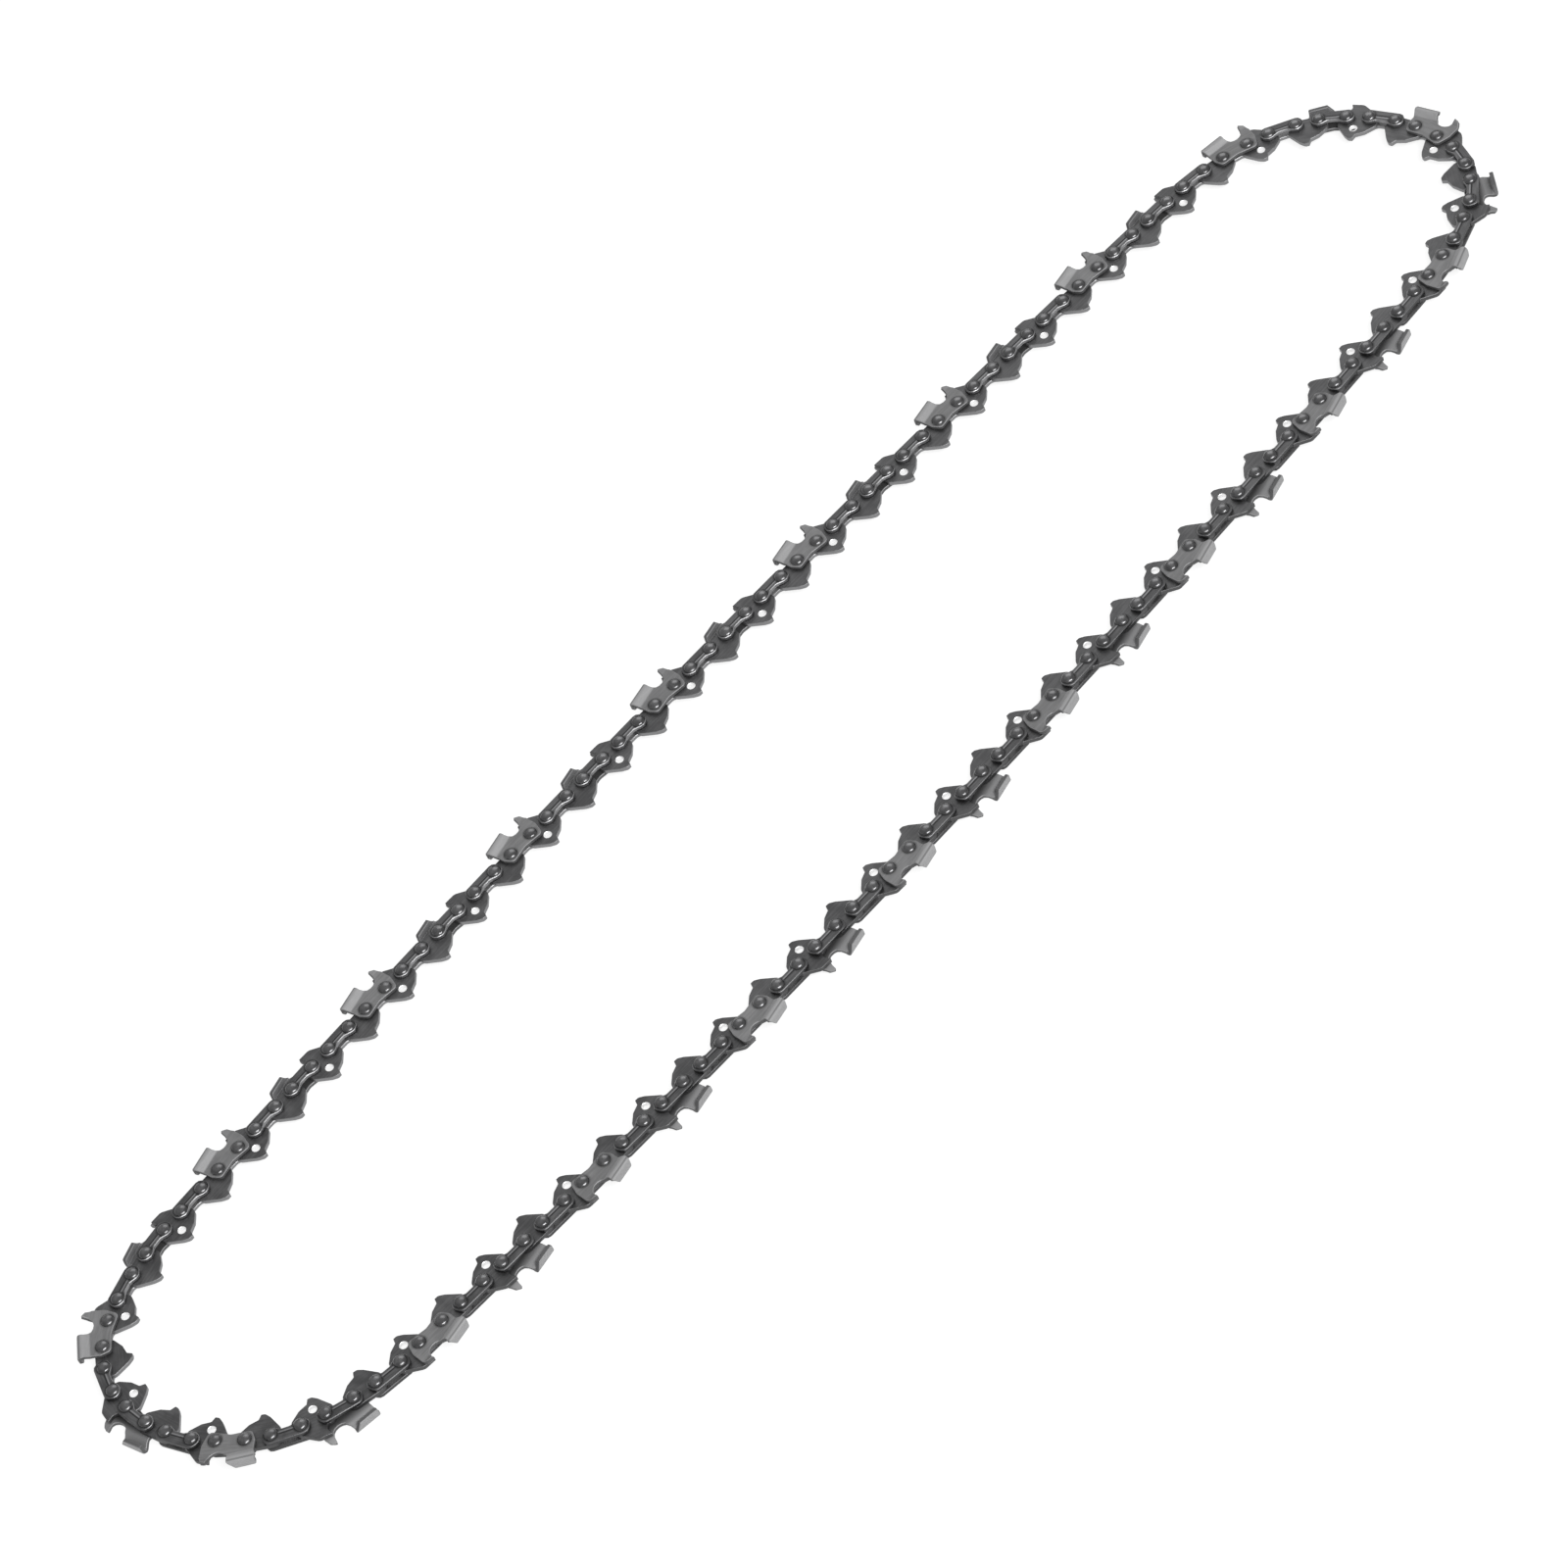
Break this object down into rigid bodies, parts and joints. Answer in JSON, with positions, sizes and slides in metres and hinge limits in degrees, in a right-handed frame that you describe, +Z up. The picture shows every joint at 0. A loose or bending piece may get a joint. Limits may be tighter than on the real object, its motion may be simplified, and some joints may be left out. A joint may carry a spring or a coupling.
{
  "type": "saw chain loop",
  "caption": "Closed loop of saw chain lying on its side: drive links joined by riveted tie straps and by cutters of both hands in turn, for a chainsaw's guide bar.",
  "frame": {"origin": "middle of the loop, on the surface that it lies on", "axes": "+X along the long runs, +Y across the loop, +Z up, across the width of the chain"},
  "size_m": [0.5914, 0.1246, 0.0068],
  "materials": {
    "cutter_steel": "satin plated steel with ground edges",
    "link_steel": "dark oiled steel with fine lengthwise scratches",
    "strap_steel": "dark oiled steel with bright edges"
  },
  "bodies": {
    "section_01": {"right_cutter_03": "cutter_steel", "left_cutter_03": "cutter_steel", "right_cutter_04": "cutter_steel", "left_cutter_04": "cutter_steel", "right_cutter_05": "cutter_steel", "drive_links_01": "link_steel", "tie_straps_01": "strap_steel"},
    "section_02": {"left_cutter_05": "cutter_steel", "right_cutter_06": "cutter_steel", "left_cutter_06": "cutter_steel", "right_cutter_07": "cutter_steel", "left_cutter_07": "cutter_steel", "drive_links_02": "link_steel", "tie_straps_02": "strap_steel"},
    "section_03": {"right_cutter_08": "cutter_steel", "left_cutter_08": "cutter_steel", "drive_links_03": "link_steel", "tie_straps_03": "strap_steel"},
    "section_04": {"right_cutter_09": "cutter_steel", "left_cutter_09": "cutter_steel", "drive_links_04": "link_steel", "tie_straps_04": "strap_steel"},
    "section_05": {"right_cutter_10": "cutter_steel", "left_cutter_10": "cutter_steel", "right_cutter_11": "cutter_steel", "left_cutter_11": "cutter_steel", "right_cutter_12": "cutter_steel", "drive_links_05": "link_steel", "tie_straps_05": "strap_steel"},
    "section_06": {"left_cutter_12": "cutter_steel", "right_cutter_13": "cutter_steel", "left_cutter_13": "cutter_steel", "right_cutter_14": "cutter_steel", "left_cutter_14": "cutter_steel", "drive_links_06": "link_steel", "tie_straps_06": "strap_steel"},
    "section_07": {"right_cutter_15": "cutter_steel", "left_cutter_15": "cutter_steel", "right_cutter_16": "cutter_steel", "left_cutter_16": "cutter_steel", "right_cutter_17": "cutter_steel", "drive_links_07": "link_steel", "tie_straps_07": "strap_steel"},
    "section_08": {"left_cutter_17": "cutter_steel", "right_cutter_18": "cutter_steel", "drive_links_08": "link_steel", "tie_straps_08": "strap_steel"},
    "section_09": {"left_cutter_18": "cutter_steel", "right_cutter_19": "cutter_steel", "drive_links_09": "link_steel", "tie_straps_09": "strap_steel"},
    "section_10": {"left_cutter_19": "cutter_steel", "right_cutter_01": "cutter_steel", "left_cutter_01": "cutter_steel", "right_cutter_02": "cutter_steel", "left_cutter_02": "cutter_steel", "drive_links_10": "link_steel", "tie_straps_10": "strap_steel"}
  },
  "joints": [
    {"name": "rivet_hinge_02", "type": "hinge", "parent": "section_01", "child": "section_02", "pos_m": [0.07566, 0.05311, 0.0034], "axis": [0, 0, -1], "range_deg": [-6, 15]},
    {"name": "rivet_hinge_03", "type": "hinge", "parent": "section_02", "child": "section_03", "pos_m": [0.24055, 0.04616, 0.0034], "axis": [0, 0, -1], "range_deg": [-10, 4]},
    {"name": "rivet_hinge_04", "type": "hinge", "parent": "section_03", "child": "section_04", "pos_m": [0.2865, 0.00421, 0.0034], "axis": [0, 0, -1], "range_deg": [-10, 4]},
    {"name": "rivet_hinge_05", "type": "hinge", "parent": "section_04", "child": "section_05", "pos_m": [0.25414, -0.04461, 0.0034], "axis": [0, 0, -1], "range_deg": [-10, 4]},
    {"name": "rivet_hinge_06", "type": "hinge", "parent": "section_05", "child": "section_06", "pos_m": [0.08943, -0.05296, 0.0034], "axis": [0, 0, -1], "range_deg": [-6, 15]},
    {"name": "rivet_hinge_01", "type": "hinge", "parent": "section_01", "child": "section_10", "pos_m": [-0.08943, 0.05296, 0.0034], "axis": [0, 0, 1], "range_deg": [-6, 15]},
    {"name": "rivet_hinge_10", "type": "hinge", "parent": "section_10", "child": "section_09", "pos_m": [-0.25414, 0.04461, 0.0034], "axis": [0, 0, 1], "range_deg": [-10, 4]},
    {"name": "rivet_hinge_09", "type": "hinge", "parent": "section_09", "child": "section_08", "pos_m": [-0.2865, -0.00421, 0.0034], "axis": [0, 0, 1], "range_deg": [-10, 4]},
    {"name": "rivet_hinge_08", "type": "hinge", "parent": "section_08", "child": "section_07", "pos_m": [-0.24055, -0.04616, 0.0034], "axis": [0, 0, 1], "range_deg": [-10, 4]}
  ],
  "couplings": [
    {"joint": "rivet_hinge_03", "follows": "rivet_hinge_02", "ratio": -0.66667},
    {"joint": "rivet_hinge_04", "follows": "rivet_hinge_02", "ratio": -0.66667},
    {"joint": "rivet_hinge_05", "follows": "rivet_hinge_02", "ratio": -0.66667},
    {"joint": "rivet_hinge_06", "follows": "rivet_hinge_02", "ratio": 1},
    {"joint": "rivet_hinge_01", "follows": "rivet_hinge_02", "ratio": 1},
    {"joint": "rivet_hinge_10", "follows": "rivet_hinge_02", "ratio": -0.66667},
    {"joint": "rivet_hinge_09", "follows": "rivet_hinge_02", "ratio": -0.66667},
    {"joint": "rivet_hinge_08", "follows": "rivet_hinge_02", "ratio": -0.66667}
  ]
}
